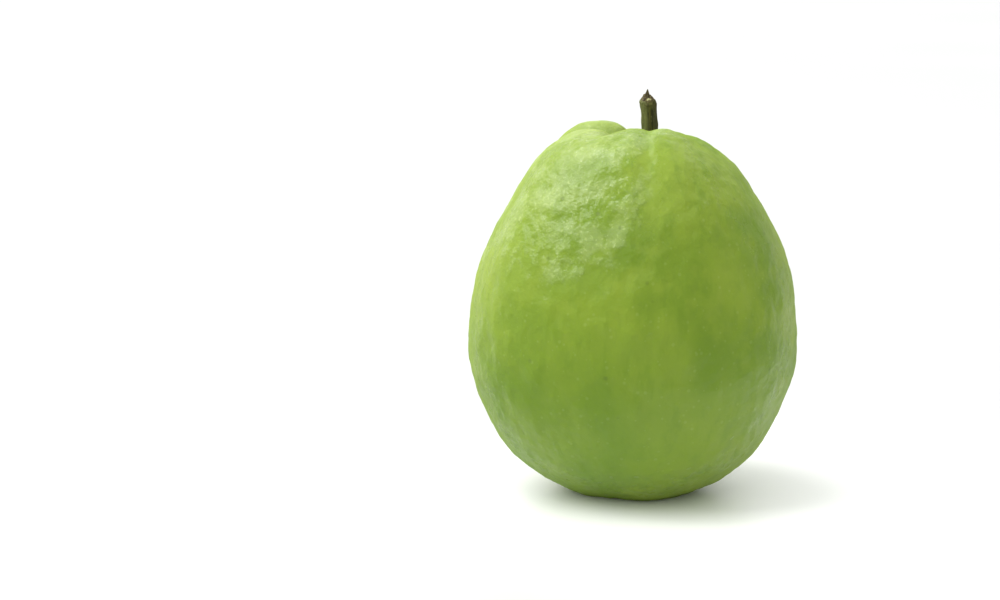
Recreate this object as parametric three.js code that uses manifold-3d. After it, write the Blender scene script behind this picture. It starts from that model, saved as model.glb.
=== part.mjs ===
// A guava: one whole white-fleshed fruit standing on its blossom end, with its stem.
//
// Millimetres, +Z up. The fruit stands on the plane z = 0, and the origin is the
// middle of its outline there. Seen along +Y, +X is to the right.
//
// Three pieces:
//   fruit  the body: a broad-based pear shape with five lobes that meet at the stem
//   stem   the woody stalk, broken off short, set in the hollow between the lobes
//   calyx  the dried flower remnant, five sepals on a disc, in the hollow underneath

import * as THREE from "three";
import { mergeVertices } from "three/addons/utils/BufferGeometryUtils.js";
import Module from "manifold-3d";

const wasm = await Module();
wasm.setup();

// ---------- driving dimensions, in mm, directions in degrees from +X ----------

const GAP = 0.3; // clearance between neighbouring pieces

// The fruit's outline, as [radius, height], from the middle of its underside, out
// over the foot, up the flank and shoulder, and down into the hollow round the stem.
const OUTLINE = [
  [0, 5.2],
  [4.2, 4.9],
  [8.2, 2.4],
  [12.7, -0.5],
  [19.2, 1.8],
  [26.8, 6.6],
  [35, 14.4],
  [41.6, 26.6],
  [45, 41.5],
  [44, 58.5],
  [38.6, 75.5],
  [29.6, 91],
  [20.2, 99.4],
  [12.2, 102.7],
  [7.4, 100.8],
  [4.8, 97],
  [2.4, 95.2],
  [0, 95],
];
const OUTLINE_STEPS = 2000; // how finely the outline's length is measured

// The crown leans: from this height up, its right and back shoulders are the lower ones.
const CROWN = { from: 46.4, to: 103, slopeX: 0.02, slopeY: 0.16 };
// The hollow round the stem lies off the middle; from and to are shares of the outline.
const HOLLOW_SHIFT = { x: 4.2, y: 0.6, from: 0.8, to: 0.97 };

// Grooves that run down from the stem between the lobes. reach is the share of the
// way along the outline at which each one has faded out.
const GROOVES = [
  { at: 174, width: 11, depth: 3.4, reach: 0.775 },
  { at: 276, width: 7.5, depth: 0.85, reach: 0.5 },
  { at: 328, width: 18, depth: 1, reach: 0.5 },
  { at: 40, width: 18, depth: 1.8, reach: 0.6 },
  { at: 100, width: 14, depth: 2.6, reach: 0.62 },
];
const GROOVE_FULL = 0.86; // share of the outline where a groove is deepest
const GROOVE_ENDS = [0.93, 0.985]; // and where it runs out inside the hollow
const GROOVE_FAN = 1.3; // share by which it widens, in degrees, on its way in

// Places where the flesh swells or sinks: direction, share of the outline, spreads, height.
const SWELLS = [
  { at: 150, along: 0.865, width: 36, length: 0.065, height: 4 },
  { at: 25, along: 0.895, width: 42, length: 0.062, height: -2.4 },
  { at: 208, along: 0.93, width: 20, length: 0.035, height: -3.4 },
  { at: 228, along: 0.9, width: 12, length: 0.04, height: -2.4 },
  { at: 185, along: 0.71, width: 30, length: 0.07, height: -1 },
  { at: 352, along: 0.74, width: 16, length: 0.035, height: -0.7 },
  { at: 180, along: 0.4, width: 60, length: 0.18, height: 1.1 },
  { at: 355, along: 0.2, width: 45, length: 0.08, height: 0.7 },
];
// The girth's departure from round: lobes in a turn, direction of one, height.
const OVALS = [
  { lobes: 2, at: 10, height: 0.5 },
  { lobes: 3, at: 200, height: 0.5 },
  { lobes: 5, at: 64, height: 0.45 },
];
// Uneven skin: wavelength, number of crossing waves, height.
const LUMPS = { wavelength: 21, count: 9, height: 0.14 };
const KNOBS = { wavelength: 9, count: 13, height: 0.12 };

const FRUIT_DETAIL = 21; // cuts of each edge of the icosahedron behind the fruit's mesh
const POLE_CROWDING = 0.35; // how much finer the mesh is near the two hollows

const STEM = {
  radius: 2.15,
  length: 18,
  segments: 24,
  rings: 10,
  endRings: [0.85, 0.65, 0.45, 0.25, 0], // radii of the rings across its end, as shares
  footFlare: 0.22, // share by which the foot is thicker
  footShare: 0.3, // share of the length that the flare takes
  topFlare: 0.05,
  topShare: 0.25,
  sides: 4, // a guava twig is four-sided
  sideHeight: 0.16, // how far its edges stand out
  sideTurn: 0.9, // direction of the first edge, in radians
  twist: 0.5, // turn of the edges from foot to top, in radians
  bend: 1, // sideways travel of the top
};
// The torn end: its face looks forward, its rim is worn, and splinters stand up from it.
const BREAK = {
  share: 0.1, // share of the length that the tear reaches down
  slope: 0.3,
  rimDrop: 0.7,
  splinters: [
    { x: 0, y: 1, width: 0.55, height: 1.9 },
    { x: -0.9, y: 0.7, width: 0.7, height: 0.8 },
    { x: 1.2, y: 0.5, width: 0.6, height: 0.4 },
  ],
};
const SOCKET_DEPTH = 1.6; // how deep the stem's foot sits in the flesh

const CALYX = {
  discRadius: 3.6,
  discThickness: 1.1,
  discTaper: 0.86, // its lower face is this share of its upper one
  discSegments: 30,
  sepals: 5,
  sepalLength: 5.6,
  sepalWidth: 4.4,
  sepalThickness: 0.8,
  sepalRoot: 0.9, // how far inside the disc's edge a sepal starts
  sepalOverlap: 1, // how far its root reaches on into the disc
  sepalRootShare: 0.8, // width of its root as a share of its own
  sepalBelly: 1.25, // and of the curve that swells its sides
  sepalSegments: 8,
  sepalWander: 0.25, // how unevenly the sepals are set round it, in radians
  wanderStep: 2.4, // and how that differs from one to the next
  droop: 3.3, // how far a sepal's tip hangs below the disc
  droopCurve: 1.35,
  cupping: 0.06, // how a sepal's edges hang, per mm of width squared
  styleRadius: 0.55,
  styleLength: 1.7,
  styleSegments: 8,
  styleOffset: { x: 0.2, y: -0.1 },
};

// Cutting blocks only need to be large enough.
const CUT_WIDTH = 200;
const CUT_HEIGHT = 6;

// ---------- small helpers ----------

const GOLDEN_ANGLE = Math.PI * (3 - Math.sqrt(5));
const { degToRad, radToDeg, clamp, smoothstep, euclideanModulo } = THREE.MathUtils;

// A bell curve of an angle's distance from a direction, both in degrees.
function bell(angle, at, width) {
  const away = euclideanModulo(angle - at + 180, 360) - 180;
  return Math.exp(-((away / width) ** 2));
}

// Smooth unevenness, about -1 to 1: sine waves that cross in evenly spread directions,
// each with a length and a phase of its own.
function waves(p, { wavelength, count }) {
  let sum = 0;
  for (let k = 0; k < count; k++) {
    const up = (k + 0.5) / count;
    const out = Math.sqrt(1 - up * up);
    const turn = k * GOLDEN_ANGLE;
    const along = p.x * out * Math.cos(turn) + p.y * out * Math.sin(turn) + p.z * up;
    const length = wavelength * (0.8 + 0.4 * Math.abs(Math.sin(3 * k)));
    sum += Math.sin((2 * Math.PI * along) / length + 1.7 * k * k);
  }
  return sum / Math.sqrt(count);
}

// A geometry with its position alone, and each shared vertex once.
function joined(geometry) {
  const bare = geometry.clone();
  for (const name of Object.keys(bare.attributes)) {
    if (name !== "position") bare.deleteAttribute(name);
  }
  return mergeVertices(bare, 1e-4);
}

// A closed three.js geometry as a manifold-3d solid.
function toSolid(geometry) {
  const merged = joined(geometry);
  return new wasm.Manifold(
    new wasm.Mesh({
      numProp: 3,
      vertProperties: merged.attributes.position.array,
      triVerts: new Uint32Array(merged.index.array),
    }),
  );
}

// And back again.
function toGeometry(solid) {
  const mesh = solid.getMesh();
  const geometry = new THREE.BufferGeometry();
  geometry.setAttribute("position", new THREE.BufferAttribute(mesh.vertProperties, 3));
  geometry.setIndex(new THREE.BufferAttribute(mesh.triVerts, 1));
  geometry.computeVertexNormals();
  return geometry;
}

// Moves every vertex of a geometry to where place() puts it.
function reshape(geometry, place) {
  const position = geometry.attributes.position;
  const p = new THREE.Vector3();
  for (let i = 0; i < position.count; i++) {
    p.fromBufferAttribute(position, i);
    place(p);
    position.setXYZ(i, p.x, p.y, p.z);
  }
  return geometry;
}

// A cylinder that stands on end.
function uprightCylinder(topRadius, bottomRadius, height, segments) {
  const cylinder = new THREE.CylinderGeometry(topRadius, bottomRadius, height, segments);
  return cylinder.rotateX(Math.PI / 2);
}

// ---------- the fruit ----------

const outline = new THREE.SplineCurve(OUTLINE.map(([r, z]) => new THREE.Vector2(r, z)));
outline.arcLengthDivisions = OUTLINE_STEPS;

// How far the skin stands out from the plain outline, at a direction and a place along it.
function relief(angle, along) {
  const outsideHollow = 1 - smoothstep(along, ...GROOVE_ENDS);
  const fan = 1 + GROOVE_FAN * smoothstep(along, GROOVE_FULL, GROOVE_ENDS[1]);
  let height = 0;
  for (const groove of GROOVES) {
    const strength = smoothstep(along, groove.reach, GROOVE_FULL) * outsideHollow;
    height -= groove.depth * strength * bell(angle, groove.at, groove.width * fan);
  }
  for (const swell of SWELLS) {
    const near = Math.exp(-(((along - swell.along) / swell.length) ** 2));
    height += swell.height * near * bell(angle, swell.at, swell.width);
  }
  const belly = Math.sin(Math.PI * along);
  for (const oval of OVALS) {
    height += oval.height * belly * Math.cos(oval.lobes * degToRad(angle - oval.at));
  }
  return height;
}

// The point of the skin at a direction and a share of the way along the outline.
function skinPoint(angle, along) {
  const tangent = outline.getTangentAt(along);
  const out = new THREE.Vector2(tangent.y, -tangent.x);
  const flat = outline.getPointAt(along).addScaledVector(out, relief(angle, along));
  const c = Math.cos(degToRad(angle));
  const s = Math.sin(degToRad(angle));
  const p = new THREE.Vector3(flat.x * c, flat.x * s, flat.y);

  const lean = smoothstep(p.z, CROWN.from, CROWN.to);
  const shift = smoothstep(along, HOLLOW_SHIFT.from, HOLLOW_SHIFT.to);
  p.x += HOLLOW_SHIFT.x * shift;
  p.y += HOLLOW_SHIFT.y * shift;
  p.z -= (CROWN.slopeX * p.x + CROWN.slopeY * p.y) * lean;

  const evenAtPoles = Math.sqrt(Math.sin(Math.PI * along));
  const uneven = evenAtPoles * (LUMPS.height * waves(p, LUMPS) + KNOBS.height * waves(p, KNOBS));
  return p.add(new THREE.Vector3(out.x * c, out.x * s, out.y).multiplyScalar(uneven));
}

// A sphere of even triangles whose every point is moved out to the skin.
function makeFlesh() {
  const sphere = joined(new THREE.IcosahedronGeometry(1, FRUIT_DETAIL));
  return reshape(sphere, (p) => {
    const share = Math.acos(clamp(-p.z, -1, 1)) / Math.PI;
    const crowd = (POLE_CROWDING * Math.sin(2 * Math.PI * share)) / (2 * Math.PI);
    const angle = radToDeg(Math.atan2(p.y, p.x));
    p.copy(skinPoint(angle, clamp(share - crowd, 0, 1)));
  });
}

const stemFoot = skinPoint(0, 1); // the bottom of the hollow round the stem
const calyxSeat = skinPoint(0, 0); // the top of the hollow underneath

// The flesh, cut flat where it stands and socketed for the stem and the calyx.
function makeFruit() {
  const below = new THREE.BoxGeometry(CUT_WIDTH, CUT_WIDTH, CUT_HEIGHT);
  below.translate(0, 0, -CUT_HEIGHT / 2);

  const socketRadius = STEM.radius * (1 + STEM.footFlare) + STEM.sideHeight + GAP;
  const socket = uprightCylinder(socketRadius, socketRadius, CUT_HEIGHT, STEM.segments);
  const socketFloor = stemFoot.z - SOCKET_DEPTH;
  socket.translate(stemFoot.x, stemFoot.y, socketFloor + CUT_HEIGHT / 2);

  const seatRadius = CALYX.discRadius + GAP;
  const seat = uprightCylinder(seatRadius, seatRadius, CUT_HEIGHT, CALYX.discSegments);
  const seatTop = calyxSeat.z + CALYX.discThickness / 2;
  seat.translate(calyxSeat.x, calyxSeat.y, seatTop - CUT_HEIGHT / 2);

  let solid = toSolid(makeFlesh());
  for (const cut of [below, socket, seat]) solid = solid.subtract(toSolid(cut));
  return toGeometry(solid);
}

// ---------- the stem ----------

// How high the torn end stands at a place across it, with the fibres torn unevenly.
function tornHeight(p) {
  let height = BREAK.slope * p.y - BREAK.rimDrop * (Math.hypot(p.x, p.y) / STEM.radius) ** 4;
  for (const splinter of BREAK.splinters) {
    const far = Math.hypot(p.x - splinter.x, p.y - splinter.y) / splinter.width;
    height += splinter.height * Math.exp(-far * far);
  }
  return height;
}

// Turned from its own outline, then made four-sided, bent, and torn off at the top.
function makeStem() {
  const { radius, length, rings } = STEM;
  const profile = [new THREE.Vector2(0, 0)];
  for (let i = 0; i <= rings; i++) profile.push(new THREE.Vector2(radius, (length * i) / rings));
  for (const share of STEM.endRings) profile.push(new THREE.Vector2(radius * share, length));
  const turned = new THREE.LatheGeometry(profile, STEM.segments).rotateX(Math.PI / 2);
  return reshape(turned, (p) => {
    const t = p.z / length;
    const angle = Math.atan2(p.y, p.x) + STEM.twist * t + STEM.sideTurn;
    const edges = (STEM.sideHeight / radius) * Math.cos(STEM.sides * angle);
    const foot = STEM.footFlare * (1 - smoothstep(t, 0, STEM.footShare));
    const top = STEM.topFlare * smoothstep(t, 1 - STEM.topShare, 1);
    const wide = 1 + foot + top + edges;
    p.x *= wide;
    p.y *= wide;
    p.z += tornHeight(p) * smoothstep(t, 1 - BREAK.share, 1);
    p.x -= STEM.bend * t * t;
  });
}

// ---------- the calyx ----------

// A leaf outline as a thin plate, its root at the origin and its tip along +X.
function makeSepal() {
  const { sepalLength, sepalWidth } = CALYX;
  const root = { x: -CALYX.sepalOverlap, y: (sepalWidth / 2) * CALYX.sepalRootShare };
  const belly = { x: sepalLength / 2, y: (sepalWidth / 2) * CALYX.sepalBelly };
  const leaf = new THREE.Shape();
  leaf.moveTo(root.x, -root.y);
  leaf.quadraticCurveTo(belly.x, -belly.y, sepalLength, 0);
  leaf.quadraticCurveTo(belly.x, belly.y, root.x, root.y);
  leaf.closePath();
  return new THREE.ExtrudeGeometry(leaf, {
    depth: CALYX.sepalThickness,
    steps: 1,
    curveSegments: CALYX.sepalSegments,
    bevelEnabled: false,
  });
}

// The disc that the petals and stamens left, its style, and the sepals round it.
function makeCalyx() {
  const { discRadius, discThickness, styleRadius, styleLength, styleOffset } = CALYX;
  const lowerRadius = discRadius * CALYX.discTaper;
  const disc = uprightCylinder(discRadius, lowerRadius, discThickness, CALYX.discSegments);
  const style = uprightCylinder(styleRadius, styleRadius / 2, styleLength, CALYX.styleSegments);
  style.translate(styleOffset.x, styleOffset.y, -styleLength / 2);
  let solid = toSolid(disc).add(toSolid(style));

  const rootX = discRadius - CALYX.sepalRoot;
  for (let i = 0; i < CALYX.sepals; i++) {
    const sepal = makeSepal().translate(rootX, 0, -discThickness / 2);
    reshape(sepal, (p) => {
      const t = Math.max(0, p.x - rootX) / CALYX.sepalLength;
      p.z -= CALYX.droop * t ** CALYX.droopCurve + CALYX.cupping * p.y * p.y;
    });
    sepal.rotateZ((2 * Math.PI * i) / CALYX.sepals + CALYX.sepalWander * Math.sin(CALYX.wanderStep * i));
    solid = solid.add(toSolid(sepal));
  }
  return toGeometry(solid);
}

// ---------- the whole ----------

function addMesh(group, name, geometry, look) {
  const mesh = new THREE.Mesh(geometry, new THREE.MeshStandardMaterial(look));
  mesh.name = name;
  group.add(mesh);
  return mesh;
}

const guava = new THREE.Group();
const fruit = addMesh(guava, "fruit", makeFruit(), {
  color: 0x86a83f,
  roughness: 0.42,
  metalness: 0,
});
const stem = addMesh(guava, "stem", makeStem(), {
  color: 0x4a4c22,
  roughness: 0.8,
  metalness: 0,
});
stem.position.set(stemFoot.x, stemFoot.y, stemFoot.z - SOCKET_DEPTH + GAP);
const calyx = addMesh(guava, "calyx", makeCalyx(), {
  color: 0x5b4a2c,
  roughness: 0.9,
  metalness: 0,
});
calyx.position.set(calyxSeat.x, calyxSeat.y, calyxSeat.z - GAP);

// The origin is the middle of the outline, so the whole is moved over it.
const middle = new THREE.Box3().setFromObject(fruit).getCenter(new THREE.Vector3());
guava.position.set(-middle.x, -middle.y, 0);

const part = new THREE.Group();
part.add(guava);

export default part;
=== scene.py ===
import math

import bpy
import numpy as np
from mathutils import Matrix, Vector


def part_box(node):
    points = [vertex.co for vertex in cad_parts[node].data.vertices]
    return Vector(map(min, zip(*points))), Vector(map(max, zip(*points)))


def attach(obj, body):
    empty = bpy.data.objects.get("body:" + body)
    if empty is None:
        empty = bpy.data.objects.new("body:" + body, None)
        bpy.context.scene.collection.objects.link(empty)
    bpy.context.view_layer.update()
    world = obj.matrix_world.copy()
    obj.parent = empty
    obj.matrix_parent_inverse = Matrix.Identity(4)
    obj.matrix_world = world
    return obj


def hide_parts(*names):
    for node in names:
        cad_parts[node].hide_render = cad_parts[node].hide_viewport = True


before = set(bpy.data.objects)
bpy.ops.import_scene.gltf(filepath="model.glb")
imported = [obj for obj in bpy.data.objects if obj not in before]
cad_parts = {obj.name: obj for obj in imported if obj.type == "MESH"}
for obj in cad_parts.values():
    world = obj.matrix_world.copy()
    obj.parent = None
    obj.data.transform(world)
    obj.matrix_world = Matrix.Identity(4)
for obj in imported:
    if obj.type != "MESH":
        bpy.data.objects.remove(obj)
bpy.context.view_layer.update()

# A whole guava on its blossom end, with its stem. Shapes are worked out in millimetres
# and directions in degrees from +X, and a mesh is in metres. The fruit repeats the form
# of the CAD node, finely enough for the skin's own relief.

MM = 0.001
SEED = 7
GOLDEN_ANGLE = math.pi * (3 - math.sqrt(5))

# ---------- the fruit's form ----------

# Outline as (radius, height), from the middle of the underside round to the stem. A place
# along it is a share of its length.
OUTLINE = [
    (0, 5.2), (4.2, 4.9), (8.2, 2.4), (12.7, -0.5), (19.2, 1.8), (26.8, 6.6),
    (35, 14.4), (41.6, 26.6), (45, 41.5), (44, 58.5), (38.6, 75.5), (29.6, 91),
    (20.2, 99.4), (12.2, 102.7), (7.4, 100.8), (4.8, 97), (2.4, 95.2), (0, 95),
]
OUTLINE_STEPS = 4000
# The crown leans: it sinks by these slopes along X and Y, between these heights.
CROWN_SLOPE = (0.02, 0.16)
CROWN_FROM, CROWN_TO = 46.4, 103
# The stem's hollow lies this far off the axis, reached between these places.
HOLLOW_SHIFT = (4.2, 0.6)
HOLLOW_FROM, HOLLOW_TO = 0.8, 0.97

# Grooves: direction, width, depth, and the place where they have faded out on the way down.
GROOVES = [
    (174, 11, 3.4, 0.775),
    (276, 7.5, 0.85, 0.5),
    (328, 18, 1, 0.5),
    (40, 18, 1.8, 0.6),
    (100, 14, 2.6, 0.62),
]
GROOVE_FULL = 0.86  # place where they are deepest
GROOVE_ENDS = (0.93, 0.985)  # places between which they run out into the hollow
GROOVE_FAN = 1.3  # share by which they are wider in the hollow
# Swells: direction, place, width in degrees, length as a share of the outline, height.
SWELLS = [
    (150, 0.865, 36, 0.065, 4),
    (25, 0.895, 42, 0.062, -2.4),
    (208, 0.93, 20, 0.035, -3.4),
    (228, 0.9, 12, 0.04, -2.4),
    (185, 0.71, 30, 0.07, -1),
    (352, 0.74, 16, 0.035, -0.7),
    (180, 0.4, 60, 0.18, 1.1),
    (355, 0.2, 45, 0.08, 0.7),
]
# Departure from round: lobes in a turn, direction of one, height.
OVALS = [(2, 10, 0.5), (3, 200, 0.5), (5, 64, 0.45)]

# Unevenness is a list of (wavelength, number of crossing waves, height).
LUMPS = [(21, 9, 0.14), (9, 13, 0.12)]  # the CAD node has these too
SKIN_RELIEF = [(4.6, 19, 0.07), (2.6, 23, 0.04)]  # the skin alone has these
SHORTEST_WAVE = 0.8  # as a share of the wavelength that is asked for
WAVE_SPREAD = 0.4  # how much longer the longest one is
WAVE_LENGTH_STEP = 3  # radians from one wave's length to the next
WAVE_PHASE_STEP = 1.7

FRUIT_CUTS = 124  # per edge of the cube behind the mesh
POLE_CROWDING = 0.35  # how much closer the mesh's rows lie at both ends
SAME_POINT_DIGITS = 6
COLLAR_RADIUS = 3.3  # flesh that has grown up round the stem's foot
COLLAR_WIDTH = 0.8
COLLAR_HEIGHT = 0.5


def smooth(low, high, x):
    """0 up to low, 1 from high on, and a smooth rise between them."""
    t = np.clip((x - low) / (high - low), 0, 1)
    return t * t * (3 - 2 * t)


def bell(x, width):
    """1 at 0, falling off to both sides within about the width."""
    return np.exp(-((x / width) ** 2))


def degrees_between(angle, side):
    return np.abs((angle - side + 180) % 360 - 180)


def waves(points, wavelength, count):
    """Sine waves that cross in evenly spread directions, about -1 to 1."""
    total = np.zeros(len(points))
    for k in range(count):
        up = (k + 0.5) / count
        out = math.sqrt(1 - up * up)
        turn = k * GOLDEN_ANGLE
        along = points @ np.array([out * math.cos(turn), out * math.sin(turn), up])
        longer = WAVE_SPREAD * abs(math.sin(WAVE_LENGTH_STEP * k))
        length = wavelength * (SHORTEST_WAVE + longer)
        total += np.sin(2 * math.pi * along / length + WAVE_PHASE_STEP * k * k)
    return total / math.sqrt(count)


def unevenness(points, kinds):
    return sum(tall * waves(points, length, count) for length, count, tall in kinds)


def outline_curve():
    """Places along the outline's smooth curve, its points there and its outward normals."""
    given = np.array(OUTLINE, float)
    last = len(given) - 1
    t = np.linspace(0, last, OUTLINE_STEPS)
    i = np.minimum(t.astype(int), last - 1)
    f = (t - i)[:, None]
    before, start, end, after = (given[np.clip(i + k, 0, last)] for k in (-1, 0, 1, 2))
    v0 = (end - before) / 2
    v1 = (after - start) / 2
    cubic = 2 * start - 2 * end + v0 + v1
    square = 3 * end - 3 * start - 2 * v0 - v1
    curve = cubic * f**3 + square * f**2 + v0 * f + start
    steps = np.hypot(*np.diff(curve, axis=0).T)
    places = np.concatenate([[0], np.cumsum(steps)]) / steps.sum()
    tangent = np.gradient(curve, axis=0)
    tangent /= np.linalg.norm(tangent, axis=1)[:, None]
    return places, curve, np.stack([tangent[:, 1], -tangent[:, 0]], 1)


OUTLINE_CURVE = outline_curve()


def groove_depth(angle, along):
    """How deep the grooves are at directions and places along the outline."""
    fan = 1 + GROOVE_FAN * smooth(GROOVE_FULL, GROOVE_ENDS[1], along)
    depth = np.zeros(len(along))
    for at, width, deep, reach in GROOVES:
        across = bell(degrees_between(angle, at), width * fan)
        depth += deep * smooth(reach, GROOVE_FULL, along) * across
    return depth * (1 - smooth(*GROOVE_ENDS, along))


def skin_points(angle, along):
    """Points of the skin, at directions and places along the outline."""
    places, curve, normals = OUTLINE_CURVE
    r, z = (np.interp(along, places, curve[:, k]) for k in (0, 1))
    out, up = (np.interp(along, places, normals[:, k]) for k in (0, 1))
    height = -groove_depth(angle, along)
    for at, place, width, length, tall in SWELLS:
        height += tall * bell(along - place, length) * bell(degrees_between(angle, at), width)
    for lobes, at, tall in OVALS:
        height += tall * np.sin(math.pi * along) * np.cos(np.radians(lobes * (angle - at)))
    r = r + out * height
    z = z + up * height
    c, s = np.cos(np.radians(angle)), np.sin(np.radians(angle))
    shift = smooth(HOLLOW_FROM, HOLLOW_TO, along)
    x = r * c + HOLLOW_SHIFT[0] * shift
    y = r * s + HOLLOW_SHIFT[1] * shift
    z = z - (CROWN_SLOPE[0] * x + CROWN_SLOPE[1] * y) * smooth(CROWN_FROM, CROWN_TO, z)
    points = np.stack([x, y, z], 1)
    lumps = unevenness(points, LUMPS) * np.sqrt(np.sin(math.pi * np.clip(along, 0, 1)))
    return points + np.stack([out * c, out * s, up], 1) * lumps[:, None]


def cube_sphere(cuts):
    """Unit vectors and quads of a cube cut evenly and blown up to a sphere."""
    line = np.tan(np.linspace(-1, 1, cuts + 1) * math.pi / 4)
    a, b = np.meshgrid(line, line, indexing="ij")
    one = np.ones_like(a)
    sides = [(one, a, b), (-one, b, a), (b, one, a), (a, -one, b), (a, b, one), (b, a, -one)]
    points = np.concatenate([np.stack(side, -1).reshape(-1, 3) for side in sides])
    points /= np.linalg.norm(points, axis=1)[:, None]
    row = cuts + 1
    corner = (np.arange(cuts)[:, None] * row + np.arange(cuts)).ravel()
    quad = np.stack([corner, corner + row, corner + row + 1, corner + 1], 1)
    quads = np.concatenate([quad + k * row * row for k in range(len(sides))])
    rounded = np.round(points, SAME_POINT_DIGITS)
    _, first, index = np.unique(rounded, axis=0, return_index=True, return_inverse=True)
    return points[first], index.ravel()[quads]


def vertex_normals(points, quads):
    corners = points[quads]
    across = np.cross(corners[:, 2] - corners[:, 0], corners[:, 3] - corners[:, 1])
    normals = np.zeros_like(points)
    for k in range(quads.shape[1]):
        np.add.at(normals, quads[:, k], across)
    return normals / np.linalg.norm(normals, axis=1)[:, None]


def shift_into_frame(points):
    """How far the form is moved so that its middle stands over the CAD node's."""
    low, high = (np.array(corner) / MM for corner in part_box("fruit"))
    shift = (low + high) / 2 - (points.min(0) + points.max(0)) / 2
    shift[2] = 0
    return shift


def add_piece(name, points, faces, material, node):
    mesh = bpy.data.meshes.new(name)
    mesh.from_pydata((points * MM).tolist(), [], faces)
    mesh.validate()
    mesh.polygons.foreach_set("use_smooth", [True] * len(mesh.polygons))
    mesh.materials.append(material)
    piece = bpy.data.objects.new(name, mesh)
    bpy.context.scene.collection.objects.link(piece)
    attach(piece, "root")
    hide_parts(node)
    return piece


def add_attribute(piece, name, values):
    attribute = piece.data.attributes.new(name, "FLOAT", "POINT")
    attribute.data.foreach_set("value", np.asarray(values, np.float32))


# ---------- materials ----------

# Places of a Mix node's colour sockets.
MIX_SHARE, MIX_FIRST, MIX_SECOND, MIX_RESULT = 0, 6, 7, 2


class Nodes:
    """Short calls for a material's nodes."""

    def __init__(self, name):
        self.material = bpy.data.materials.new(name)
        self.material.use_nodes = True
        self.tree = self.material.node_tree
        self.shader = self.tree.nodes["Principled BSDF"]
        self.place = self.tree.nodes.new("ShaderNodeTexCoord").outputs["Object"]

    def node(self, kind, **settings):
        made = self.tree.nodes.new(kind)
        for key, value in settings.items():
            setattr(made, key, value)
        return made

    def put(self, socket, value):
        if isinstance(value, bpy.types.NodeSocket):
            self.tree.links.new(value, socket)
        else:
            socket.default_value = value

    def noise(self, size_mm, octaves, roughness, at=None):
        noise = self.node("ShaderNodeTexNoise")
        self.put(noise.inputs["Vector"], self.place if at is None else at)
        self.put(noise.inputs["Scale"], 1 / (size_mm * MM))
        self.put(noise.inputs["Detail"], octaves)
        self.put(noise.inputs["Roughness"], roughness)
        return noise.outputs["Fac"]

    def cells(self, size_mm, output="Distance"):
        cells = self.node("ShaderNodeTexVoronoi")
        self.put(cells.inputs["Vector"], self.place)
        self.put(cells.inputs["Scale"], 1 / (size_mm * MM))
        return cells.outputs[output]

    def stretched(self, scales):
        mapping = self.node("ShaderNodeMapping")
        self.put(mapping.inputs["Vector"], self.place)
        self.put(mapping.inputs["Scale"], scales)
        return mapping.outputs["Vector"]

    def steps(self, value, low, high, bottom=0, top=1):
        """value as it goes from low to high, smoothly, given out from bottom to top."""
        node = self.node("ShaderNodeMapRange", interpolation_type="SMOOTHSTEP")
        ends = {"From Min": low, "From Max": high, "To Min": bottom, "To Max": top}
        for key, number in ends.items():
            self.put(node.inputs[key], number)
        self.put(node.inputs["Value"], value)
        return node.outputs["Result"]

    def math(self, operation, a, b):
        node = self.node("ShaderNodeMath", operation=operation)
        self.put(node.inputs[0], a)
        self.put(node.inputs[1], b)
        return node.outputs[0]

    def times(self, a, b):
        return self.math("MULTIPLY", a, b)

    def outside(self, value):
        return self.math("SUBTRACT", 1, value)

    def mix(self, share, first, second):
        node = self.node("ShaderNodeMix", data_type="RGBA")
        self.put(node.inputs[MIX_SHARE], share)
        self.put(node.inputs[MIX_FIRST], first)
        self.put(node.inputs[MIX_SECOND], second)
        return node.outputs[MIX_RESULT]

    def tint(self, base, where, share, tone):
        """base, with a share of the tone in it as far as where is 1."""
        return self.mix(self.times(where, share), base, tone)

    def attribute(self, name):
        return self.node("ShaderNodeAttribute", attribute_name=name).outputs["Fac"]

    def bump(self, height, strength, depth_mm, below=None):
        bump = self.node("ShaderNodeBump")
        self.put(bump.inputs["Height"], height)
        self.put(bump.inputs["Strength"], strength)
        self.put(bump.inputs["Distance"], depth_mm * MM)
        if below is not None:
            self.put(bump.inputs["Normal"], below)
        return bump.outputs["Normal"]

    def set(self, **sockets):
        for key, value in sockets.items():
            self.put(self.shader.inputs[key.replace("_", " ")], value)


def linear(level):
    """A screen's level, 0 to 255, as light from 0 to 1 by the sRGB curve."""
    share = level / 255
    return share / 12.92 if level <= 10 else ((share + 0.055) / 1.055) ** 2.4


def colour(red, green, blue):
    """A colour given as it looks on a screen, as the shader takes it."""
    return (linear(red), linear(green), linear(blue), 1)


# In the values below a noise is its size in mm, octaves and roughness. A range is where a
# value sets in and is full, and, where it isn't 0 to 1, what is given out at the two.

SKIN_DEEP = colour(103, 131, 27)
SKIN_PLAIN = colour(124, 147, 40)
SKIN_PALE = colour(130, 151, 44)
# paler, yellower lit side, partly blush and partly painted light; also the sheen's tint
SKIN_BLUSH_AND_LIGHT = colour(138, 157, 43)
# deeper green of the lower belly, partly painted shade
SKIN_DEEP_AND_SHADE = colour(88, 120, 12)
# pale greyish veil of painted sheen on the lit shoulder and crown
SKIN_PAINTED_SHEEN = colour(152, 170, 112)
# pale pores, and the painted glints on the lit shoulder
SKIN_PORE_AND_GLINT = colour(184, 200, 128)
SKIN_FRECKLE = colour(74, 92, 26)
SKIN_SCAR = colour(124, 126, 56)
BLOSSOM_SCAR = colour(112, 98, 50)

BROAD_NOISE, BROAD_RANGE = (28, 2, 0.5), (0.36, 0.64)
PALE_NOISE, PALE_RANGE = (8, 4, 0.55), (0.45, 0.7, 0, 0.5)
STREAK_NOISE, STREAK_RANGE = (4, 4, 0.6), (0.48, 0.68, 0, 0.55)
STREAK_STRETCH = (1, 1, 0.35)
GRAIN_NOISE, GRAIN_RANGE = (1.3, 3, 0.6), (0.54, 0.74, 0, 0.2)
BLUSH_AND_LIGHT_SHARE = 0.7
DEEP_AND_SHADE_SHARE = 0.5
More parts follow.
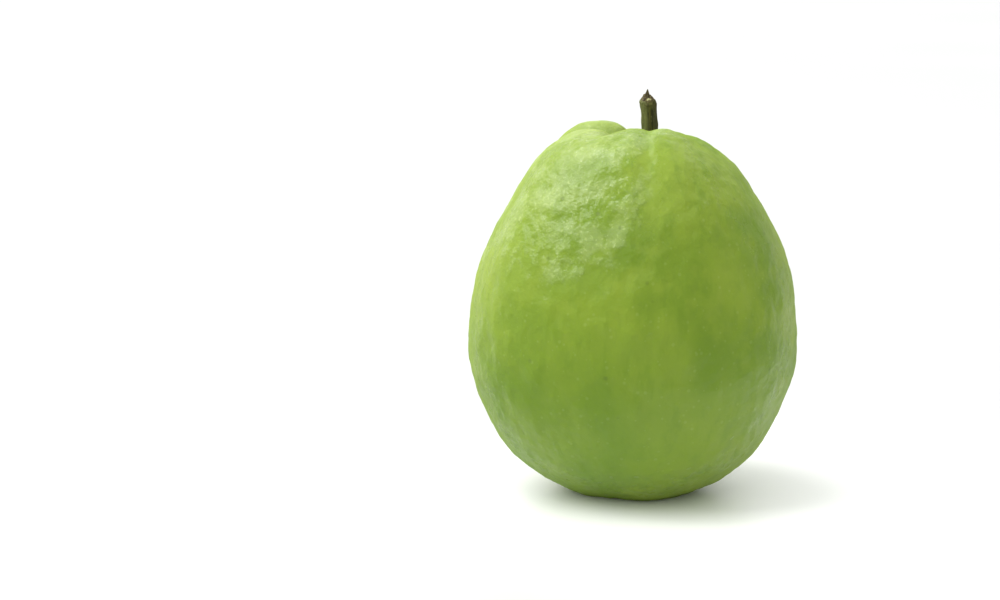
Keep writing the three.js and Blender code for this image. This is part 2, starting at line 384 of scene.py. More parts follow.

# Painted sheen: pale patches of reflection, painted darker gaps and glints, most glints on
# patches.
ISLAND_NOISE = (9, 4, 0.6)
ISLANDS_AT_EDGE = 2  # how far the islands reach in and out at the bloom's edge
PAINTED_SHEEN_RANGE = (1.3, 1.75)
PATCH_RANGE = (0.42, 0.6)
SHEEN_PATCH_SHARE = 0.35
SHEEN_GAP_SHARE = 0.35
GLINT_NOISE, GLINT_RANGE = (0.9, 2, 0.5), (0.56, 0.68)
GLINT_SHARE = 0.26
GLINTS_BY_PATCH = (0, 1, 0.3, 1)

PORE_SPACING = 1.9
PORE_SIZES = (0.3, 1, 0.06, 0.3)  # the pores' radii, as shares of the spacing, by chance
PORE_RANGE = (0.6, 1.3)  # by the distance from its middle in radii
PORE_SHARE = 0.08
FRECKLE_SPACING = 9
FRECKLE_RANGE = (0.04, 0.1)  # by the distance from its middle in spacings
FRECKLE_SHARE = 0.35
# painted shade in the grooves
GROOVE_SHADE_SHARE = 0.3
STEM_SCAR_SHARE = 0.6
BLOSSOM_SCAR_SHARE = 0.85

SKIN_ROUGHNESS_NOISE, SKIN_ROUGHNESS = (3.5, 4, 0.6), (0.35, 0.65, 0.12, 0.24)
ROUGHER_EDGE_ON = (0.5, 0.9, 0, 0.4)
ROUGHER_IN_GROOVES = (0.02, 0.2, 0, 0.2)
# Wax: a fine noise and a coarse one that is higher, thickest where the painted sheen has patches.
FINE_WAX_NOISE = (1.2, 2, 0.5)
COARSE_WAX_NOISE = (4.5, 2, 0.5)
COARSE_WAX_HEIGHT = 1.6
WAX_BY_PATCH = (0, 1, 0.5, 1)
WAX_BY_SHEEN_SIDE = (0, 1, 0.6, 1)
WAX_DEPTH = 0.21


def skin_colour(n, painted_sheen_and_wax, patches):
    green = n.mix(n.steps(n.noise(*BROAD_NOISE), *BROAD_RANGE), SKIN_DEEP, SKIN_PLAIN)
    streaks = n.noise(*STREAK_NOISE, n.stretched(STREAK_STRETCH))
    green = n.mix(n.steps(n.noise(*PALE_NOISE), *PALE_RANGE), green, SKIN_PALE)
    green = n.mix(n.steps(streaks, *STREAK_RANGE), green, SKIN_DEEP)
    green = n.mix(n.steps(n.noise(*GRAIN_NOISE), *GRAIN_RANGE), green, SKIN_PALE)

    # Painted light: the lit side and crown are tinted paler and yellower, partly as a blush.
    green = n.tint(green, n.attribute("blush_and_painted_light"), BLUSH_AND_LIGHT_SHARE, SKIN_BLUSH_AND_LIGHT)
    # Painted shade: the lower front-left belly is made deeper green, partly as its own colour.
    green = n.tint(green, n.attribute("deep_and_painted_shade"), DEEP_AND_SHADE_SHARE, SKIN_DEEP_AND_SHADE)

    # Painted sheen on the lit shoulder: darker gaps, pale patches and bright painted glints.
    green = n.tint(green, n.times(n.outside(patches), painted_sheen_and_wax), SHEEN_GAP_SHARE, SKIN_DEEP)
    green = n.tint(green, n.times(patches, painted_sheen_and_wax), SHEEN_PATCH_SHARE, SKIN_PAINTED_SHEEN)
    glints = n.steps(n.noise(*GLINT_NOISE), *GLINT_RANGE)
    glints = n.times(glints, n.steps(patches, *GLINTS_BY_PATCH))
    green = n.tint(green, n.times(glints, painted_sheen_and_wax), GLINT_SHARE, SKIN_PORE_AND_GLINT)

    radii = n.steps(n.cells(PORE_SPACING, "Color"), *PORE_SIZES)
    from_pore = n.math("DIVIDE", n.cells(PORE_SPACING), radii)
    green = n.tint(green, n.outside(n.steps(from_pore, *PORE_RANGE)), PORE_SHARE, SKIN_PORE_AND_GLINT)
    freckles = n.outside(n.steps(n.cells(FRECKLE_SPACING), *FRECKLE_RANGE))
    green = n.tint(green, freckles, FRECKLE_SHARE, SKIN_FRECKLE)

    # Painted shade: the grooves are darkened.
    green = n.tint(green, n.attribute("groove"), GROOVE_SHADE_SHARE, SKIN_DEEP)
    green = n.tint(green, n.attribute("stem_end"), STEM_SCAR_SHARE, SKIN_SCAR)
    return n.tint(green, n.attribute("blossom_end"), BLOSSOM_SCAR_SHARE, BLOSSOM_SCAR)


def skin_material():
    """Waxy green skin: soft broad mottling, upright streaks, pale pores, scars at both ends, and
    painted light, sheen and shade.
    """
    n = Nodes("guava_skin")
    # Where the painted sheen lies, with islands at its edge; the wax bump follows it too.
    islands = n.noise(*ISLAND_NOISE)
    edge = n.math("ADD", n.attribute("painted_sheen_and_wax"), n.times(islands, ISLANDS_AT_EDGE))
    painted_sheen_and_wax = n.steps(edge, *PAINTED_SHEEN_RANGE)
    patches = n.steps(islands, *PATCH_RANGE)

    facing = n.node("ShaderNodeLayerWeight")
    edge_on = n.steps(facing.outputs["Facing"], *ROUGHER_EDGE_ON)
    in_grooves = n.steps(n.attribute("groove"), *ROUGHER_IN_GROOVES)
    roughness = n.steps(n.noise(*SKIN_ROUGHNESS_NOISE), *SKIN_ROUGHNESS)
    roughness = n.math("ADD", n.math("ADD", roughness, edge_on), in_grooves)

    coarse = n.times(n.noise(*COARSE_WAX_NOISE), COARSE_WAX_HEIGHT)
    wax = n.math("ADD", n.noise(*FINE_WAX_NOISE), coarse)
    thick = n.times(painted_sheen_and_wax, n.steps(patches, *WAX_BY_PATCH))
    wax = n.times(wax, n.steps(thick, *WAX_BY_SHEEN_SIDE))

    n.set(Base_Color=skin_colour(n, painted_sheen_and_wax, patches), Roughness=roughness)
    n.set(Normal=n.bump(wax, strength=1, depth_mm=WAX_DEPTH), IOR=1.35)
    n.set(Subsurface_Weight=0.45, Subsurface_Scale=0.004, Subsurface_Radius=(1, 1, 0.3))
    n.set(Sheen_Weight=0.14, Sheen_Roughness=0.4, Sheen_Tint=SKIN_BLUSH_AND_LIGHT)
    return n.material


BARK_DARK, BARK_LIGHT = colour(40, 40, 9), colour(72, 70, 24)
BARK_PATCH = colour(104, 108, 56)
# lighter grey-green, painted light on the stem's lit side
BARK_PAINTED_LIGHT = colour(114, 120, 70)
BARK_SPECK = colour(140, 138, 92)
WOOD_DARK, WOOD_LIGHT = colour(48, 42, 20), colour(92, 82, 46)
WOOD_PITH = colour(146, 146, 100)
FIBRE_NOISE, FIBRE_RANGE = (0.6, 5, 0.65), (0.35, 0.65)
FIBRE_STRETCH = (1, 1, 0.12)
FIBRE_DEPTH = 0.25
BARK_PATCH_NOISE, BARK_PATCH_RANGE = (2.6, 4, 0.6), (0.5, 0.7, 0, 0.3)
BARK_PATCH_DEPTH = 0.3
BARK_PAINTED_LIGHT_SHARE = 0.5
SPECK_SPACING, SPECK_RANGE = 1.1, (0.1, 0.22)
SPECK_SHARE = 0.3
WOOD_RANGE = (0.4, 0.62)
BARK_ROUGHNESS = (0.3, 0.7, 0.6, 0.85)


def bark_material():
    """Olive bark: long fibres, painted lighter grey-green on its lit side, pale specks, and torn
    wood and pith on top.
    """
    n = Nodes("stem_bark")
    fibres = n.noise(*FIBRE_NOISE, n.stretched(FIBRE_STRETCH))
    patches = n.noise(*BARK_PATCH_NOISE)
    specks = n.outside(n.steps(n.cells(SPECK_SPACING), *SPECK_RANGE))
    brown = n.mix(n.steps(fibres, *FIBRE_RANGE), BARK_DARK, BARK_LIGHT)
    brown = n.mix(n.steps(patches, *BARK_PATCH_RANGE), brown, BARK_PATCH)
    # Painted light: the stem's lit side is paler grey-green.
    brown = n.tint(brown, n.attribute("painted_lit_side"), BARK_PAINTED_LIGHT_SHARE, BARK_PAINTED_LIGHT)
    brown = n.tint(brown, specks, SPECK_SHARE, BARK_SPECK)
    wood = n.mix(n.steps(fibres, *WOOD_RANGE), WOOD_DARK, WOOD_LIGHT)
    wood = n.mix(n.attribute("pith"), wood, WOOD_PITH)
    brown = n.mix(n.attribute("torn"), brown, wood)
    below = n.bump(patches, strength=0.5, depth_mm=BARK_PATCH_DEPTH)
    n.set(Normal=n.bump(fibres, strength=0.7, depth_mm=FIBRE_DEPTH, below=below))
    n.set(Base_Color=brown, Roughness=n.steps(patches, *BARK_ROUGHNESS))
    n.set(Specular_IOR_Level=0.2)
    return n.material


CALYX_DARK, CALYX_LIGHT = colour(92, 68, 38), colour(134, 108, 68)
CALYX_GRAIN, CALYX_TIP = colour(60, 44, 26), colour(58, 42, 26)
CALYX_PATCH_NOISE, CALYX_PATCH_RANGE = (3, 3, 0.55), (0.35, 0.65)
CALYX_GRAIN_NOISE, CALYX_GRAIN_RANGE = (0.8, 5, 0.65), (0.5, 0.72, 0, 0.6)
CALYX_GRAIN_DEPTH = 0.3
CALYX_TIP_SHARE = 0.6
CALYX_ROUGHNESS = (0.3, 0.7, 0.7, 0.95)


def calyx_material():
    """Dry brown tissue with a dark grain, darker at the tips."""
    n = Nodes("dried_calyx")
    grain = n.noise(*CALYX_GRAIN_NOISE)
    patches = n.noise(*CALYX_PATCH_NOISE)
    brown = n.mix(n.steps(patches, *CALYX_PATCH_RANGE), CALYX_DARK, CALYX_LIGHT)
    brown = n.mix(n.steps(grain, *CALYX_GRAIN_RANGE), brown, CALYX_GRAIN)
    brown = n.tint(brown, n.attribute("tip"), CALYX_TIP_SHARE, CALYX_TIP)
    n.set(Base_Color=brown, Roughness=n.steps(grain, *CALYX_ROUGHNESS))
    n.set(Normal=n.bump(grain, strength=0.7, depth_mm=CALYX_GRAIN_DEPTH))
    return n.material


# ---------- the fruit ----------

# Where the skin's tones lie: a direction, how many degrees from it the tone still is full
# and has gone, and the places between which it rises or falls.
BLUSH_AND_LIGHT_SIDE = (190, 10, 85)  # paler, yellower: part blush, part painted light
BLUSH_AND_LIGHT_RISES = [(0.3, 0.6), (0.8, 0.88)]  # by a half each
DEEP_AND_SHADE_SIDE = (235, 20, 90)  # deeper belly, partly painted shade
DEEP_AND_SHADE_RISE, DEEP_AND_SHADE_FALL = (0.1, 0.24), (0.36, 0.62)
DEEP_AND_SHADE_BEHIND = 0.5  # it is less deep by this share on the other side
# Where the painted sheen lies: the lit shoulder and the crown, with the wax thickest there.
SHEEN_SHOULDER, SHEEN_SHOULDER_RISE = (220, 28, 76), (0.53, 0.69)
SHEEN_CROWN, SHEEN_CROWN_RISE = (220, 45, 88), (0.82, 0.88)
STEM_SCAR_RADII = (2.6, 5.5)  # full, and gone
BLOSSOM_SCAR_RADII = (4, 10)
EQUATOR = 0.5


def near_side(angle, side, full, gone):
    return 1 - smooth(full, gone, degrees_between(angle, side))


def add_skin_tones(piece, angle, along, from_foot, from_seat):
    """Where the skin has blush and painted light, deeper green and painted shade, painted sheen,
    grooves or scars, for its material.
    """
    deepest = max(deep for _, _, deep, _ in GROOVES)
    # groove depth, for the painted shade and the roughness in the grooves
    add_attribute(piece, "groove", np.clip(groove_depth(angle, along) / deepest, 0, 1))
    # the lit side, paler and yellower: partly blush, partly painted light
    blush_and_painted_light = sum(smooth(*rise, along) for rise in BLUSH_AND_LIGHT_RISES) / len(BLUSH_AND_LIGHT_RISES)
    add_attribute(piece, "blush_and_painted_light", near_side(angle, *BLUSH_AND_LIGHT_SIDE) * blush_and_painted_light)
    # the lower belly, deeper green and partly painted shade
    deep_and_painted_shade = smooth(*DEEP_AND_SHADE_RISE, along) * (1 - smooth(*DEEP_AND_SHADE_FALL, along))
    behind = 1 - near_side(angle, *DEEP_AND_SHADE_SIDE)
    add_attribute(piece, "deep_and_painted_shade", deep_and_painted_shade * (1 - DEEP_AND_SHADE_BEHIND * behind))
    shoulder = smooth(*SHEEN_SHOULDER_RISE, along) * near_side(angle, *SHEEN_SHOULDER)
    crown = smooth(*SHEEN_CROWN_RISE, along) * near_side(angle, *SHEEN_CROWN)
    add_attribute(piece, "painted_sheen_and_wax", np.maximum(shoulder, crown))
    add_attribute(piece, "stem_end", (1 - smooth(*STEM_SCAR_RADII, from_foot)) * (along > EQUATOR))
    blossom_end = (1 - smooth(*BLOSSOM_SCAR_RADII, from_seat)) * (along < EQUATOR)
    add_attribute(piece, "blossom_end", blossom_end)


def make_fruit():
    """The skin. Gives back where the stem's foot and the calyx's seat are."""
    sphere, quads = cube_sphere(FRUIT_CUTS)
    share = np.arccos(np.clip(-sphere[:, 2], -1, 1)) / math.pi
    along = share - POLE_CROWDING * np.sin(2 * math.pi * share) / (2 * math.pi)
    angle = np.degrees(np.arctan2(sphere[:, 1], sphere[:, 0]))
    points = skin_points(angle, along)
    shift = shift_into_frame(points)
    foot, seat = (skin_points(np.array([0.0]), np.array([end]))[0] for end in (1.0, 0.0))

    from_foot = np.hypot(points[:, 0] - foot[0], points[:, 1] - foot[1])
    collar = COLLAR_HEIGHT * bell(from_foot - COLLAR_RADIUS, COLLAR_WIDTH) * (along > EQUATOR)
    relief = unevenness(points, SKIN_RELIEF)
    points = points + vertex_normals(points, quads) * relief[:, None]
    points[:, 2] += collar
    points[:, 2] = np.maximum(points[:, 2], 0)
    from_seat = np.hypot(points[:, 0] - seat[0], points[:, 1] - seat[1])

    placed = points + shift
    piece = add_piece("guava_skin", placed, quads.tolist(), skin_material(), "fruit")
    add_skin_tones(piece, angle, along, from_foot, from_seat)
    return foot + shift, seat + shift


# ---------- the stem ----------

STEM_RADIUS = 2.15
STEM_LENGTH = 18
SOCKET_DEPTH = 1.3  # from the flesh down to the stem's own foot
STEM_FLARE = (0.22, 0.05)  # shares by which the foot and the top are thicker
STEM_FLARE_SHARE = (0.3, 0.25)  # shares of the length that they take
STEM_CORNERS = 4
STEM_EDGE = 0.16  # height of its rounded corners
STEM_TURN = 0.9  # radians that they are turned by
STEM_TWIST = 0.5  # radians that they turn on the way up
STEM_BEND = 1.0  # how far the top stands over towards -X
# Unevenness as shares of the radius. The fissures are taken on a smooth squat copy of the
# stem's side, so that they run upright.
FISSURES = [(0.9, 15, 0.035), (0.42, 19, 0.02)]
FISSURE_RADIUS = 2.2
FISSURE_SQUAT = 0.16
KNOTS = [(3.1, 9, 0.06)]

BREAK_SHARE = 0.1  # of the length, that the torn end reshapes
BREAK_SLOPE = 0.3  # up towards +Y
BREAK_RIM_DROP = 0.7
BREAK_RIM_POWER = 4  # how late it drops, from the middle out
# Splinters: X, Y, width and height.
SPLINTERS = [(0, 1, 0.55, 1.9), (-0.9, 0.7, 0.7, 0.8), (1.2, 0.5, 0.6, 0.4)]
TORN_RELIEF = [(0.8, 17, 0.16)]
TORN_RANGE = (0.78, 0.95)  # shares of the radius between which the torn wood turns to bark
PITH = (0.35, -0.95)  # where it shows in the torn end
PITH_RADII = (0.45, 0.75)  # full, and gone
# the stem's lit side, where it is painted paler
STEM_LIT_SIDE = 195
STEM_LIT_COSINES = (0.2, 0.8)

STEM_ROUND = 96
STEM_RINGS = 120
TORN_RINGS = 22


def lathe_grid(rings, around):
    """Quads between rings of points, and a fan at each end."""
    faces = []
    for i in range(rings - 1):
        low, high = i * around, (i + 1) * around
        for j in range(around):
            k = (j + 1) % around
            faces.append((low + j, low + k, high + k, high + j))
    last, bottom, top = (rings - 1) * around, rings * around, rings * around + 1
    for j in range(around):
        k = (j + 1) % around
        faces.append((bottom, k, j))
        faces.append((top, last + j, last + k))
    return faces


def straight_stem():
    """X, Y and height of a round stem's points, and which of them are on its torn end."""
    side = np.linspace(0, STEM_LENGTH, STEM_RINGS)
    inward = np.linspace(1, 0, TORN_RINGS + 2)[1:-1]
    radii = np.concatenate([np.full(STEM_RINGS, STEM_RADIUS), STEM_RADIUS * inward])
    heights = np.concatenate([side, np.full(TORN_RINGS, STEM_LENGTH)])
    torn = np.concatenate([np.zeros(STEM_RINGS), np.ones(TORN_RINGS)])
    turn = np.arange(STEM_ROUND) * 2 * math.pi / STEM_ROUND
    r, a = np.meshgrid(radii, turn, indexing="ij")
    x = np.append((r * np.cos(a)).ravel(), [0, 0])
    y = np.append((r * np.sin(a)).ravel(), [0, 0])
    z = np.append(np.repeat(heights, STEM_ROUND), [0, STEM_LENGTH])
    return x, y, z, np.append(np.repeat(torn, STEM_ROUND), [0, 1])


def make_stem(foot):
    x, y, z, torn = straight_stem()
    t = z / STEM_LENGTH
    angle = np.arctan2(y, x)
    corners = np.cos(STEM_CORNERS * (angle + STEM_TWIST * t + STEM_TURN))
    edges = STEM_EDGE / STEM_RADIUS * corners
    foot_flare = STEM_FLARE[0] * (1 - smooth(0, STEM_FLARE_SHARE[0], t))
    top_flare = STEM_FLARE[1] * smooth(1 - STEM_FLARE_SHARE[1], 1, t)
    around = [FISSURE_RADIUS * np.cos(angle), FISSURE_RADIUS * np.sin(angle)]
    fissures = unevenness(np.stack([*around, z * FISSURE_SQUAT], 1), FISSURES)
    knots = unevenness(np.stack([x, y, z], 1), KNOTS) / STEM_RADIUS
    wide = 1 + foot_flare + top_flare + edges + fissures + knots
    x = x * wide
    y = y * wide

    from_axis = np.hypot(x, y) / STEM_RADIUS
    tear = BREAK_SLOPE * y - BREAK_RIM_DROP * from_axis**BREAK_RIM_POWER
    for at_x, at_y, width, tall in SPLINTERS:
        tear += tall * np.exp(-(((x - at_x) ** 2 + (y - at_y) ** 2) / width**2))
    tear += unevenness(np.stack([x, y, 0 * z], 1), TORN_RELIEF) * torn
    z = z + tear * smooth(1 - BREAK_SHARE, 1, t)

    points = np.stack([x - STEM_BEND * t * t, y, z - SOCKET_DEPTH], 1) + foot
    faces = lathe_grid(STEM_RINGS + TORN_RINGS, STEM_ROUND)
    piece = add_piece("guava_stem", points, faces, bark_material(), "stem")
    add_attribute(piece, "torn", torn * (1 - smooth(*TORN_RANGE, from_axis)))
    from_pith = np.hypot(x - PITH[0], y - PITH[1])
    add_attribute(piece, "pith", torn * (1 - smooth(*PITH_RADII, from_pith)))
    # the lit side, painted paler
    towards_lit_side = np.cos(angle - math.radians(STEM_LIT_SIDE))
    add_attribute(piece, "painted_lit_side", smooth(*STEM_LIT_COSINES, towards_lit_side))


# ---------- the calyx ----------

DISC_RADIUS = 3.6
DISC_THICKNESS = 1.1
DISC_LOW, DISC_HIGH = -DISC_THICKNESS / 2, DISC_THICKNESS / 2
# Profiles as (radius, height), from the axis below round to the axis above.
DISC_PROFILE = [
    (0, DISC_LOW + 0.35), (0.9, DISC_LOW + 0.3), (1.6, DISC_LOW + 0.1), (2.2, DISC_LOW + 0.15),
    (2.7, DISC_LOW - 0.25), (3.1, DISC_LOW - 0.1), (3.45, DISC_LOW + 0.25), (DISC_RADIUS, 0.1),
    (3.4, DISC_HIGH), (0, DISC_HIGH),
]
DISC_RELIEF = [(1.3, 13, 0.08)]
STYLE_PROFILE = [
    (0, -2.15), (0.3, -2.1), (0.36, -1.9), (0.22, -1.6), (0.26, -0.6), (0.5, 0), (0, 0),
]
STYLE_AT = (0.2, -0.1, 0)
CALYX_DROP = 0.3  # how far the disc's middle lies under the flesh

SEPALS = 5
SEPAL_WANDER, SEPAL_WANDER_STEP = 0.25, 2.4  # radians out of place, by a sine of this step
SEPAL_LENGTH = 5.6
SEPAL_WIDTH = 4.4
SEPAL_THICKNESS = 0.55
SEPAL_ROOT = 0.9  # how far it reaches in over the disc
SEPAL_ROOT_WIDTH, SEPAL_WIDENING = 0.8, 0.55  # shares of the width
SEPAL_BLUNTNESS = 2.2
SEPAL_LEAST_HALF = 0.12  # half the width that is left at the tip
SEPAL_RAGGED = [(9, 0.08), (23, 0.05)]  # radians along the length, share of the width
SEPAL_DROOP, SEPAL_DROOP_POWER = 3.3, 1.35
SEPAL_CUP = 0.06  # how the sides hang, by the square of the way across
SEPAL_CURLS, SEPAL_CURL_POWER = (0.35, 0.625), 4  # how far the tip turns up again
SEPAL_WAVE, SEPAL_WAVE_ACROSS, SEPAL_WAVE_ALONG = 0.16, 3.1, 5  # height, radians
SEPAL_VEIN, SEPAL_VEINS = 0.07, 3  # height, number
SEPAL_THINNING = 0.55  # share by which the tip is thinner
SEPAL_EDGE_THINNING, SEPAL_EDGE_LEAST = 0.9, 0.05  # the same for its sides, as squares
SEPAL_CUTS = (28, 20)
PHASES = (0, 6)

STAMENS = 46
STAMEN_RING, STAMEN_RING_SPREAD = 2.7, 0.25
STAMEN_LENGTHS = (0.4, 1.5)
STAMEN_LEANS = (-0.5, 0.7)
STAMEN_SWAY = 0.25
# Its profile: radius, height as a share of the length, and what is added to that.
STAMEN_PROFILE = [(0, -1, -0.04), (0.05, -1, 0), (0.09, -0.5, 0), (0.11, 0, 0.15), (0, 0, 0.2)]

DISC_ROUND, STYLE_ROUND, STAMEN_ROUND = 60, 14, 6
STYLE_TONE, STAMEN_TONE = 0.5, 0.7  # how far they have the colour of a sepal's tip


def turned_about_z(x, y, z, turn):
    c, s = math.cos(turn), math.sin(turn)
    return np.stack([x * c - y * s, x * s + y * c, z], 1)


def plate_faces(rows, columns):
    """Faces of a closed plate: a grid of points above, the same below, and its edge."""
    below = rows * columns
    faces = []
    for i in range(rows - 1):
        for j in range(columns - 1):
            a = i * columns + j
            b, c, d = a + columns, a + columns + 1, a + 1
            faces.append((a, b, c, d))
            faces.append((below + a, below + d, below + c, below + b))
    for i in range(rows - 1):
        left, right = i * columns, i * columns + columns - 1
        faces.append((left, below + left, below + left + columns, left + columns))
        faces.append((right, right + columns, below + right + columns, below + right))
    for j in range(columns - 1):
        root, tip = j, (rows - 1) * columns + j
        faces.append((root, root + 1, below + root + 1, below + root))
        faces.append((tip, below + tip, below + tip + 1, tip + 1))
    return faces


def sepal(rng, turn):
    """One dried sepal as a closed thin plate, and how near each point is to its tip."""
    rows, columns = SEPAL_CUTS
    t, u = np.meshgrid(np.linspace(0, 1, rows), np.linspace(-1, 1, columns), indexing="ij")
    half = SEPAL_WIDTH / 2 * (SEPAL_ROOT_WIDTH + SEPAL_WIDENING * t)
    half = half * (1 - t**SEPAL_BLUNTNESS) + SEPAL_LEAST_HALF
    ragged = 1
    for rate, share in SEPAL_RAGGED:
        ragged = ragged + share * np.sin(rate * t + rng.uniform(*PHASES))
    x = DISC_RADIUS - SEPAL_ROOT + SEPAL_LENGTH * t
    y = u * half * ragged
    curl = rng.uniform(*SEPAL_CURLS) * t**SEPAL_CURL_POWER
    drop = SEPAL_DROOP * t**SEPAL_DROOP_POWER + SEPAL_CUP * y * y - curl
    wave = np.sin(SEPAL_WAVE_ACROSS * u + SEPAL_WAVE_ALONG * t + rng.uniform(*PHASES))
    veins = np.cos(math.pi * SEPAL_VEINS * u)
    waved = SEPAL_WAVE * wave * t + SEPAL_VEIN * veins * (1 - t)
    middle = DISC_LOW + SEPAL_THICKNESS - drop + waved
    to_edge = np.sqrt(np.clip(1 - SEPAL_EDGE_THINNING * u * u, SEPAL_EDGE_LEAST, 1))
    thick = SEPAL_THICKNESS / 2 * (1 - SEPAL_THINNING * t) * to_edge
    x, y, t = (np.tile(values.ravel(), 2) for values in (x, y, t))
    z = np.concatenate([(middle + thick).ravel(), (middle - thick).ravel()])
    return turned_about_z(x, y, z, turn), plate_faces(rows, columns), t


def turned(profile, around):
    """A solid turned round Z from (radius, height) points, both ends on the axis."""
    r, z = np.array(profile, float).T
    turn = np.arange(around) * 2 * math.pi / around
    x, y = np.outer(r[1:-1], np.cos(turn)), np.outer(r[1:-1], np.sin(turn))
    rings = np.stack([x, y, np.outer(z[1:-1], np.ones(around))], -1)
    ends = [[0, 0, z[0]], [0, 0, z[-1]]]
    return np.concatenate([rings.reshape(-1, 3), ends]), lathe_grid(len(r) - 2, around)


def stamen(rng, turn):
    """One dried stamen, a thin hair under the disc."""
    root = STAMEN_RING + rng.uniform(-STAMEN_RING_SPREAD, STAMEN_RING_SPREAD)
    tall = rng.uniform(*STAMEN_LENGTHS)
    lean = rng.uniform(*STAMEN_LEANS)
    hair = [(radius, share * tall + more) for radius, share, more in STAMEN_PROFILE]
    points, faces = turned(hair, STAMEN_ROUND)
    x, y, z = points.T
    x = root + lean * np.clip(-z, 0, None) + x
    y = y + STAMEN_SWAY * rng.uniform(-1, 1) * z
    return turned_about_z(x, y, z + DISC_LOW, turn), faces, np.full(len(points), STAMEN_TONE)


def make_calyx(seat):
    rng = np.random.default_rng(SEED)
    points, faces = turned(DISC_PROFILE, DISC_ROUND)
    points[:, 2] += unevenness(points, DISC_RELIEF)
    parts = [(points, faces, np.zeros(len(points)))]
    points, faces = turned(STYLE_PROFILE, STYLE_ROUND)
    parts.append((points + STYLE_AT, faces, np.full(len(points), STYLE_TONE)))
    for i in range(SEPALS):
        wander = SEPAL_WANDER * math.sin(SEPAL_WANDER_STEP * i)
        parts.append(sepal(rng, 2 * math.pi * i / SEPALS + wander))
    for i in range(STAMENS):
        parts.append(stamen(rng, i * GOLDEN_ANGLE))

    all_faces, start = [], 0
    for points, faces, _ in parts:
        all_faces += [tuple(start + v for v in face) for face in faces]
        start += len(points)
    placed = np.concatenate([points for points, _, _ in parts]) + seat - [0, 0, CALYX_DROP]
    piece = add_piece("guava_calyx", placed, all_faces, calyx_material(), "calyx")
    add_attribute(piece, "tip", np.concatenate([tip for _, _, tip in parts]))


# ---------- floor, light and camera ----------

FLOOR_SIZE = 30  # metres, as all lengths of the studio are
FLOOR_GREY = (0.52, 0.53, 0.52, 1)
# a pool of painted light on the paper round the fruit
FLOOR_PAINTED_LIGHT = (0.9, 0.91, 0.89, 1)
FLOOR_PAINTED_LIGHT_AT = (0.04, -0.01, 0)  # painted light: palest here, to lighten the fruit's shadow
FLOOR_PAINTED_LIGHT_RANGE = (0.045, 0.14, 1, 0)  # by the distance from there
FLOOR_NOISE, FLOOR_ROUGHNESS = (400, 2, 0.5), (0.3, 0.7, 0.3, 0.34)

# Lights are given by their azimuth from +X and their rise above level, in degrees.
WORLD_BRIGHTEST = (170, 69)
WORLD_COSINES = (0.2, 0.48)  # of the angles from there where it has dimmed, and is full
WORLD_STRENGTHS = (0.77, 1.39)
WHITE = (1, 1, 1, 1)
SIDE_BOX, SIDE_BOX_STRENGTH, SIDE_BOX_SPREAD = (179, 56), 2.36, 57
LAMPS = [(202, 26), (186, 50), (212, 42), (205, 66), (158, 64)]
LAMP_STRENGTH, LAMP_SPREAD = 0.13, 8

IMAGE_WIDTH, IMAGE_HEIGHT = 1000, 600
SENSOR = 36
LENS = 85
CLIP_START = 0.01
CAMERA_RISE = 10
PIXELS_PER_METRE = 3533  # at the fruit
AIM = Vector((0, 0, 0.0525))  # this point of the fruit
AIM_PIXEL = (632.4, 306.5)  # lies here in the frame
AIM_ROUNDS = 20


def make_floor():
    bpy.ops.mesh.primitive_plane_add(size=FLOOR_SIZE, location=(0, 0, 0))
    floor = bpy.context.object
    floor.name = "floor"
    n = Nodes("floor_paper")
    far = n.node("ShaderNodeVectorMath", operation="DISTANCE")
    n.put(far.inputs[0], n.place)
    n.put(far.inputs[1], FLOOR_PAINTED_LIGHT_AT)
    # Painted light: the paper is paler where the fruit's shadow falls.
    paler = n.steps(far.outputs["Value"], *FLOOR_PAINTED_LIGHT_RANGE)
    roughness = n.steps(n.noise(*FLOOR_NOISE), *FLOOR_ROUGHNESS)
    n.set(Base_Color=n.mix(paler, FLOOR_GREY, FLOOR_PAINTED_LIGHT), Roughness=roughness, IOR=1.45)
    floor.data.materials.append(n.material)


def direction_of(azimuth, rise):
    a, e = math.radians(azimuth), math.radians(rise)
    return Vector((math.cos(e) * math.cos(a), math.cos(e) * math.sin(a), math.sin(e)))


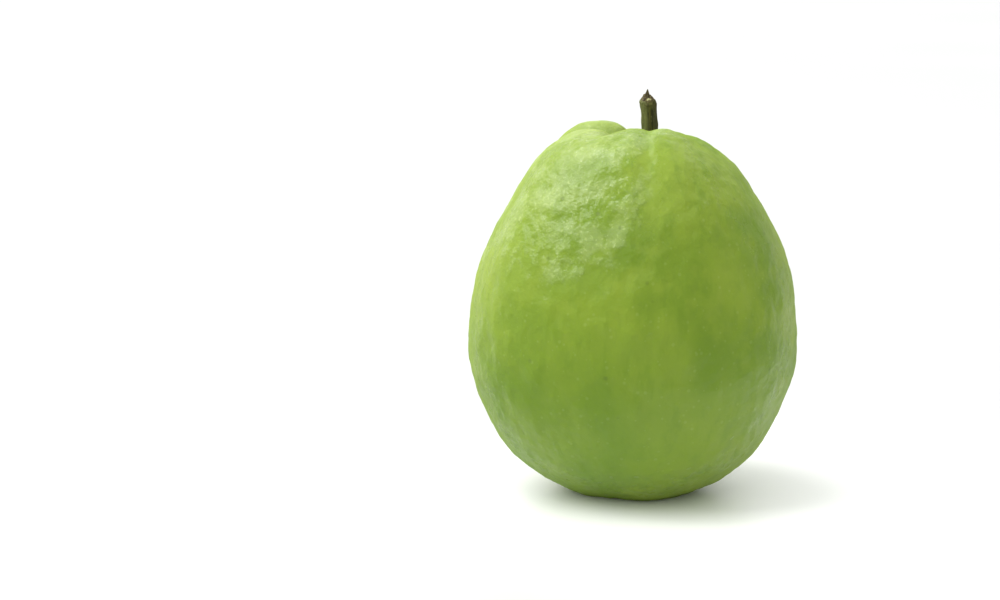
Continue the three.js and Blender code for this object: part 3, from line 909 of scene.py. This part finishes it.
def make_world():
    """A white room that is brightest high on the left and dimmest low on the right."""
    world = bpy.data.worlds.new("studio")
    world.use_nodes = True
    nodes, links = world.node_tree.nodes, world.node_tree.links
    nearness = nodes.new("ShaderNodeVectorMath")
    nearness.operation = "DOT_PRODUCT"
    links.new(nodes.new("ShaderNodeTexCoord").outputs["Generated"], nearness.inputs[0])
    nearness.inputs[1].default_value = direction_of(*WORLD_BRIGHTEST)
    strength = nodes.new("ShaderNodeMapRange")
    strength.interpolation_type = "SMOOTHSTEP"
    for name, (low, high) in (("From", WORLD_COSINES), ("To", WORLD_STRENGTHS)):
        strength.inputs[f"{name} Min"].default_value = low
        strength.inputs[f"{name} Max"].default_value = high
    links.new(nearness.outputs["Value"], strength.inputs["Value"])
    background = nodes["Background"]
    background.inputs["Color"].default_value = WHITE
    links.new(strength.outputs["Result"], background.inputs["Strength"])
    bpy.context.scene.world = world


def add_soft_box(name, azimuth, rise, strength, spread):
    """A soft box far away: spread is how wide it looks, in degrees."""
    light = bpy.data.lights.new(name, "SUN")
    light.energy = strength
    light.angle = math.radians(spread)
    lamp = bpy.data.objects.new(name, light)
    direction = direction_of(azimuth, rise)
    lamp.location = direction
    lamp.rotation_euler = direction.to_track_quat("Z", "Y").to_euler()
    bpy.context.scene.collection.objects.link(lamp)


def make_camera():
    """The photograph's view: the camera is turned until AIM lies at AIM_PIXEL."""
    data = bpy.data.cameras.new("camera")
    data.sensor_width = SENSOR
    data.lens = LENS
    data.clip_start = CLIP_START
    focal = LENS / SENSOR * IMAGE_WIDTH
    rise = math.radians(CAMERA_RISE)
    place = AIM + focal / PIXELS_PER_METRE * Vector((0, -math.cos(rise), math.sin(rise)))
    across = (AIM_PIXEL[0] - IMAGE_WIDTH / 2) / focal
    down = (AIM_PIXEL[1] - IMAGE_HEIGHT / 2) / focal
    to_aim = AIM - place
    view = to_aim.normalized()
    for _ in range(AIM_ROUNDS):
        right = view.cross(Vector((0, 0, 1))).normalized()
        up = right.cross(view)
        depth = to_aim.dot(view)
        sideways = right * (to_aim.dot(right) / depth - across)
        view = (view + sideways + up * (to_aim.dot(up) / depth + down)).normalized()
    camera = bpy.data.objects.new("camera", data)
    camera.location = place
    camera.rotation_euler = view.to_track_quat("-Z", "Y").to_euler()
    bpy.context.scene.collection.objects.link(camera)
    bpy.context.scene.camera = camera


stem_foot, calyx_seat = make_fruit()
make_stem(stem_foot)
make_calyx(calyx_seat)
make_floor()
make_world()
add_soft_box("side_box", *SIDE_BOX, SIDE_BOX_STRENGTH, SIDE_BOX_SPREAD)
for number, lamp_at in enumerate(LAMPS):
    add_soft_box(f"lamp_{number}", *lamp_at, LAMP_STRENGTH, LAMP_SPREAD)
make_camera()
bpy.context.scene.view_settings.view_transform = "Standard"
